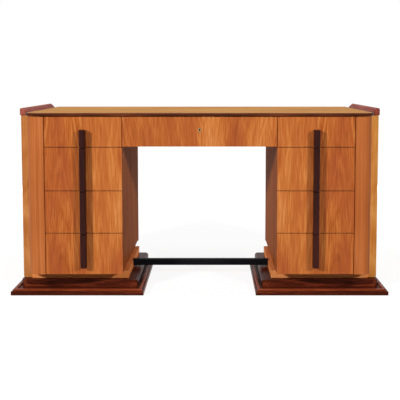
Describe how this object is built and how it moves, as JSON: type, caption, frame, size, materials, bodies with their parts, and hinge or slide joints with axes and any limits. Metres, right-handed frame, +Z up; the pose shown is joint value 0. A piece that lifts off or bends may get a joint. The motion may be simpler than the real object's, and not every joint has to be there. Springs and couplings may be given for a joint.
{
  "type": "executive desk",
  "caption": "Pedestal writing desk in veneered walnut with banks of drawers on vertical bar pulls, a locking frieze drawer, stepped dark plinths and a black foot bar.",
  "frame": {"origin": "on the floor under the middle of the desk", "axes": "+X to the sitter's right as seen from the drawer side, +Y to the back, +Z up"},
  "size_m": [1.6, 0.8, 0.7894],
  "materials": {
    "walnut_veneer": "french polished",
    "rosewood": "french polished",
    "ebonised_pull": "polished",
    "drawer_lining": "waxed",
    "carcass_wood": "planed",
    "black_bar": "black lacquer",
    "lock_brass": "polished"
  },
  "bodies": {
    "carcass": {"knee_back_apron": "walnut_veneer", "left_back_panel": "walnut_veneer", "left_base_neck": "walnut_veneer", "left_centre_runner": "carcass_wood", "left_corner_post": "walnut_veneer", "left_dust_boards": "carcass_wood", "left_end_rail": "rosewood", "left_end_slab": "walnut_veneer", "left_guide_panel": "carcass_wood", "left_inner_side": "walnut_veneer", "left_outer_side": "walnut_veneer", "left_plinth_base": "rosewood", "left_plinth_block": "rosewood", "lock_strike_plate": "lock_brass", "right_back_panel": "walnut_veneer", "right_base_neck": "walnut_veneer", "right_centre_runner": "carcass_wood", "right_corner_post": "walnut_veneer", "right_dust_boards": "carcass_wood", "right_end_rail": "rosewood", "right_end_slab": "walnut_veneer", "right_guide_panel": "carcass_wood", "right_inner_side": "walnut_veneer", "right_outer_side": "walnut_veneer", "right_plinth_base": "rosewood", "right_plinth_block": "rosewood", "stretcher_bar": "black_bar", "sub_top": "walnut_veneer", "top_board": "walnut_veneer", "top_edge_band": "rosewood"},
    "left_bottom_drawer": {"left_bottom_drawer_box": "drawer_lining", "left_bottom_drawer_front": "walnut_veneer", "left_bottom_drawer_pull": "ebonised_pull"},
    "left_lower_drawer": {"left_lower_drawer_box": "drawer_lining", "left_lower_drawer_front": "walnut_veneer", "left_lower_drawer_pull": "ebonised_pull"},
    "left_upper_drawer": {"left_upper_drawer_box": "drawer_lining", "left_upper_drawer_front": "walnut_veneer", "left_upper_drawer_pull": "ebonised_pull"},
    "left_top_drawer": {"left_top_drawer_box": "drawer_lining", "left_top_drawer_front": "walnut_veneer", "left_top_drawer_pull": "ebonised_pull"},
    "right_bottom_drawer": {"right_bottom_drawer_box": "drawer_lining", "right_bottom_drawer_front": "walnut_veneer", "right_bottom_drawer_pull": "ebonised_pull"},
    "right_lower_drawer": {"right_lower_drawer_box": "drawer_lining", "right_lower_drawer_front": "walnut_veneer", "right_lower_drawer_pull": "ebonised_pull"},
    "right_upper_drawer": {"right_upper_drawer_box": "drawer_lining", "right_upper_drawer_front": "walnut_veneer", "right_upper_drawer_pull": "ebonised_pull"},
    "right_top_drawer": {"right_top_drawer_box": "drawer_lining", "right_top_drawer_front": "walnut_veneer", "right_top_drawer_pull": "ebonised_pull"},
    "centre_drawer": {"centre_drawer_box": "drawer_lining", "centre_drawer_escutcheon": "lock_brass", "centre_drawer_front": "walnut_veneer", "lock_case": "lock_brass"},
    "lock_bolt": {"lock_bolt": "lock_brass"}
  },
  "joints": [
    {"name": "left_bottom_drawer_slide", "type": "slide", "parent": "carcass", "child": "left_bottom_drawer", "axis": [0, -1, 0], "range_m": [0, 0.4]},
    {"name": "left_lower_drawer_slide", "type": "slide", "parent": "carcass", "child": "left_lower_drawer", "axis": [0, -1, 0], "range_m": [0, 0.4]},
    {"name": "left_upper_drawer_slide", "type": "slide", "parent": "carcass", "child": "left_upper_drawer", "axis": [0, -1, 0], "range_m": [0, 0.4]},
    {"name": "left_top_drawer_slide", "type": "slide", "parent": "carcass", "child": "left_top_drawer", "axis": [0, -1, 0], "range_m": [0, 0.4]},
    {"name": "right_bottom_drawer_slide", "type": "slide", "parent": "carcass", "child": "right_bottom_drawer", "axis": [0, -1, 0], "range_m": [0, 0.4]},
    {"name": "right_lower_drawer_slide", "type": "slide", "parent": "carcass", "child": "right_lower_drawer", "axis": [0, -1, 0], "range_m": [0, 0.4]},
    {"name": "right_upper_drawer_slide", "type": "slide", "parent": "carcass", "child": "right_upper_drawer", "axis": [0, -1, 0], "range_m": [0, 0.4]},
    {"name": "right_top_drawer_slide", "type": "slide", "parent": "carcass", "child": "right_top_drawer", "axis": [0, -1, 0], "range_m": [0, 0.4]},
    {"name": "centre_drawer_slide", "type": "slide", "parent": "carcass", "child": "centre_drawer", "axis": [0, -1, 0], "range_m": [0, 0.35]},
    {"name": "lock_bolt_throw", "type": "slide", "parent": "centre_drawer", "child": "lock_bolt", "axis": [0, 0, 1], "range_m": [0, 0.009]}
  ]
}
